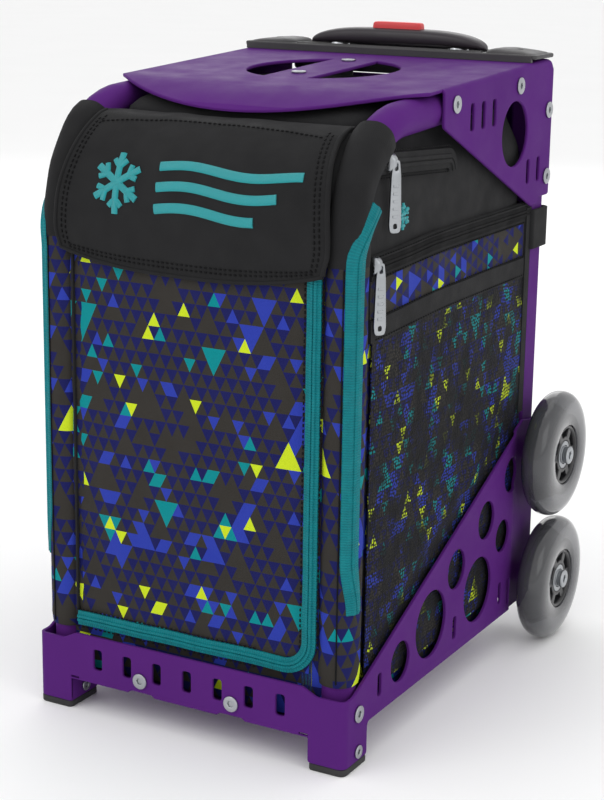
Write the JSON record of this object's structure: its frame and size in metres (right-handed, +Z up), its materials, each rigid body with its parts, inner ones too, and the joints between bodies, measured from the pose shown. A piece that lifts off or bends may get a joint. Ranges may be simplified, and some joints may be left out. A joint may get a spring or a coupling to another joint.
{
  "type": "wheeled skate bag",
  "caption": "Upright wheeled bag for ice skates: sheet-metal seat frame with a telescopic handle, stair-climbing side wheels and a fabric insert bag.",
  "frame": {"origin": "on the ground under the middle of the bounding box", "axes": "+X to the right seen from the front, +Y to the rear where the wheels and the handle are, +Z up"},
  "size_m": [0.3198, 0.371, 0.486],
  "materials": {
    "paint": "purple powder coat, satin with a fine orange-peel texture",
    "black_plastic": "moulded black plastic, fine grain",
    "soft_grip": "soft-touch black grip",
    "red_plastic": "red moulded plastic",
    "rubber": "black rubber",
    "steel": "zinc-plated and polished steel",
    "alloy": "anodised aluminium tube",
    "urethane": "smoky translucent polyurethane",
    "printed_cloth": "woven polyester printed with a triangle pattern",
    "black_cloth": "black woven polyester",
    "mesh_cloth": "black knitted mesh",
    "teal_zip": "teal woven zip tape with moulded teeth",
    "board": "black stiffener board"
  },
  "bodies": {
    "frame": {"seat_panel": "paint", "front_lip": "paint", "side_plate_left": "paint", "side_plate_right": "paint", "foot_left": "rubber", "foot_right": "rubber", "floor_panel": "paint", "front_tube_left": "paint", "front_tube_right": "paint", "rear_post_left": "paint", "rear_post_right": "paint", "rear_crossbar_upper": "paint", "rear_crossbar_lower": "paint", "axle_lower_left": "steel", "axle_upper_left": "steel", "axle_lower_right": "steel", "axle_upper_right": "steel", "handle_guide_left": "black_plastic", "handle_guide_right": "black_plastic", "rear_cap": "black_plastic", "lip_screw_left": "steel", "lip_screw_right": "steel", "bag_shell": "printed_cloth", "bag_door": "printed_cloth", "bag_base_board": "board", "tube_sleeve_left": "printed_cloth", "tube_sleeve_right": "printed_cloth", "mesh_pocket_left": "mesh_cloth", "mesh_pocket_right": "mesh_cloth", "post_strap_left": "black_cloth", "post_strap_right": "black_cloth"},
    "handle_middle": {"handle_middle_left": "alloy", "handle_middle_right": "alloy"},
    "handle_inner": {"handle_inner_left": "alloy", "handle_inner_right": "alloy", "handle_grip": "soft_grip"},
    "release_button": {"release_button": "red_plastic"},
    "bag_flap": {"bag_flap": "black_cloth"},
    "zip_slider_upper": {"zip_slider_upper": "steel"},
    "zip_pull_upper": {"zip_pull_upper": "steel"},
    "zip_slider_pocket": {"zip_slider_pocket": "steel"},
    "zip_pull_pocket": {"zip_pull_pocket": "steel"},
    "wheel_lower_left": {"tyre_lower_left": "urethane", "wheel_core_lower_left": "black_plastic", "bearing_outer_lower_left": "steel", "bearing_inner_lower_left": "steel"},
    "wheel_upper_left": {"tyre_upper_left": "urethane", "wheel_core_upper_left": "black_plastic", "bearing_outer_upper_left": "steel", "bearing_inner_upper_left": "steel"},
    "wheel_lower_right": {"tyre_lower_right": "urethane", "wheel_core_lower_right": "black_plastic", "bearing_outer_lower_right": "steel", "bearing_inner_lower_right": "steel"},
    "wheel_upper_right": {"tyre_upper_right": "urethane", "wheel_core_upper_right": "black_plastic", "bearing_outer_upper_right": "steel", "bearing_inner_upper_right": "steel"}
  },
  "joints": [
    {"name": "wheel_lower_left_spin", "type": "hinge", "parent": "frame", "child": "wheel_lower_left", "pos_m": [-0.146, 0.13545, 0.05], "axis": [1, 0, 0], "continuous": true},
    {"name": "wheel_upper_left_spin", "type": "hinge", "parent": "frame", "child": "wheel_upper_left", "pos_m": [-0.146, 0.13345, 0.1546], "axis": [1, 0, 0], "continuous": true},
    {"name": "wheel_lower_right_spin", "type": "hinge", "parent": "frame", "child": "wheel_lower_right", "pos_m": [0.146, 0.13545, 0.05], "axis": [1, 0, 0], "continuous": true},
    {"name": "wheel_upper_right_spin", "type": "hinge", "parent": "frame", "child": "wheel_upper_right", "pos_m": [0.146, 0.13345, 0.1546], "axis": [1, 0, 0], "continuous": true},
    {"name": "handle_middle_slide", "type": "slide", "parent": "frame", "child": "handle_middle", "axis": [0, 0, 1], "range_m": [0, 0.258]},
    {"name": "handle_inner_slide", "type": "slide", "parent": "handle_middle", "child": "handle_inner", "axis": [0, 0, 1], "range_m": [0, 0.258]},
    {"name": "release_button_press", "type": "slide", "parent": "handle_inner", "child": "release_button", "axis": [0, 0, -1], "range_m": [0, 0.003], "stiffness_N_per_m": 700},
    {"name": "flap_hinge", "type": "hinge", "parent": "frame", "child": "bag_flap", "pos_m": [0, -0.12555, 0.43], "axis": [-1, 0, 0], "range_deg": [0, 65]},
    {"name": "zip_slider_upper_slide", "type": "slide", "parent": "frame", "child": "zip_slider_upper", "axis": [0, 1, 0], "range_m": [0, 0.088]},
    {"name": "zip_pull_upper_swing", "type": "hinge", "parent": "zip_slider_upper", "child": "zip_pull_upper", "pos_m": [0.12595, -0.12655, 0.4086], "axis": [0, -1, 0], "range_deg": [0, 100]},
    {"name": "zip_slider_pocket_slide", "type": "slide", "parent": "frame", "child": "zip_slider_pocket", "axis": [0, 1, 0], "range_m": [0, 0.2]},
    {"name": "zip_pull_pocket_swing", "type": "hinge", "parent": "zip_slider_pocket", "child": "zip_pull_pocket", "pos_m": [0.12595, -0.14505, 0.3436], "axis": [0, -1, 0], "range_deg": [0, 100]}
  ]
}
